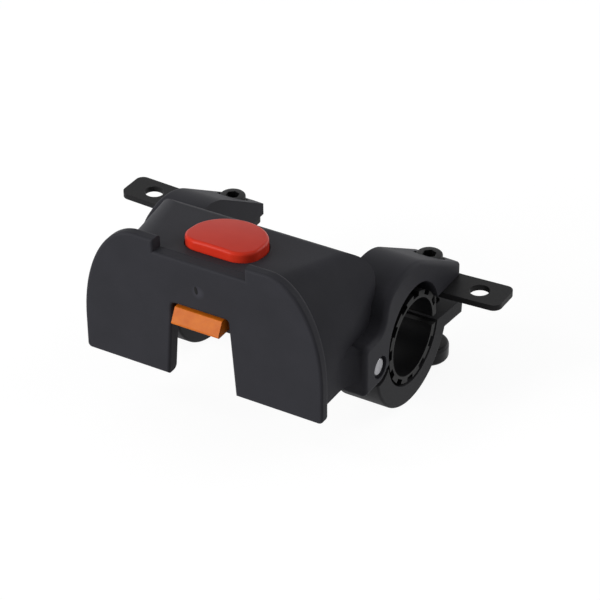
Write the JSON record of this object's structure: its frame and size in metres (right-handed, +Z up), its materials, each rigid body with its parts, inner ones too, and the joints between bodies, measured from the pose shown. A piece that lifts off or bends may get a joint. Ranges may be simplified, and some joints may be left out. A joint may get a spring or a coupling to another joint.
{
  "type": "bicycle basket mount",
  "caption": "Quick-release handlebar mount for a bicycle basket: notched bracket plate, push button working a sprung catch, and hinged bar clamps with reducing sleeves.",
  "frame": {"origin": "on the handlebar axis as the slack clamps hold it, midway between the two clamps", "axes": "+X along the handlebar, +Y back towards the rider, +Z up; the bracket plate faces -Y"},
  "size_m": [0.1393, 0.0893, 0.069],
  "materials": {
    "body_nylon": "fine spark-textured black nylon moulding",
    "jaw_nylon": "slightly rougher black nylon moulding",
    "sleeve_nylon": "smooth black nylon",
    "red_acetal": "satin red moulding",
    "orange_acetal": "satin orange moulding",
    "pin_steel": "bright cut steel",
    "black_steel": "black oxide and black paint on steel",
    "spring_steel": "zinc-plated steel"
  },
  "bodies": {
    "mount": {"mount_body": "body_nylon", "base_cover": "body_nylon", "left_cover_screw": "spring_steel", "right_cover_screw": "spring_steel", "button_spring": "spring_steel", "latch_spring": "spring_steel", "left_hinge_pin": "pin_steel", "right_hinge_pin": "pin_steel", "left_clamp_bolt": "black_steel", "right_clamp_bolt": "black_steel", "left_round_nut": "black_steel", "right_round_nut": "black_steel"},
    "button": {"release_button": "red_acetal"},
    "latch": {"latch": "orange_acetal"},
    "right_jaw": {"right_lower_jaw": "jaw_nylon", "right_sleeve": "sleeve_nylon"},
    "left_jaw": {"left_lower_jaw": "jaw_nylon", "left_sleeve": "sleeve_nylon"},
    "right_tab": {"right_stay_tab": "black_steel"},
    "left_tab": {"left_stay_tab": "black_steel"}
  },
  "joints": [
    {"name": "button_press", "type": "slide", "parent": "mount", "child": "button", "axis": [0, 0, -1], "range_m": [0, 0.0035], "stiffness_N_per_m": 600, "springref_m": -0.004, "deforming": ["button_spring"]},
    {"name": "latch_slide", "type": "slide", "parent": "mount", "child": "latch", "axis": [0, 1, 0], "range_m": [0, 0.0035], "stiffness_N_per_m": 400, "springref_m": -0.004, "deforming": ["latch_spring"]},
    {"name": "right_jaw_swing", "type": "hinge", "parent": "mount", "child": "right_jaw", "pos_m": [0.036, -0.02107, 0.00141], "axis": [1, 0, 0], "range_deg": [-6, 5.5]},
    {"name": "left_jaw_swing", "type": "hinge", "parent": "mount", "child": "left_jaw", "pos_m": [-0.036, -0.02107, 0.00141], "axis": [1, 0, 0], "range_deg": [-6, 5.5]},
    {"name": "right_tab_slide", "type": "slide", "parent": "mount", "child": "right_tab", "axis": [1, 0, 0], "range_m": [0, 0.0126]},
    {"name": "left_tab_slide", "type": "slide", "parent": "mount", "child": "left_tab", "axis": [-1, 0, 0], "range_m": [-0.0126, 0]}
  ],
  "couplings": [
    {"joint": "latch_slide", "follows": "button_press", "ratio": 1}
  ]
}
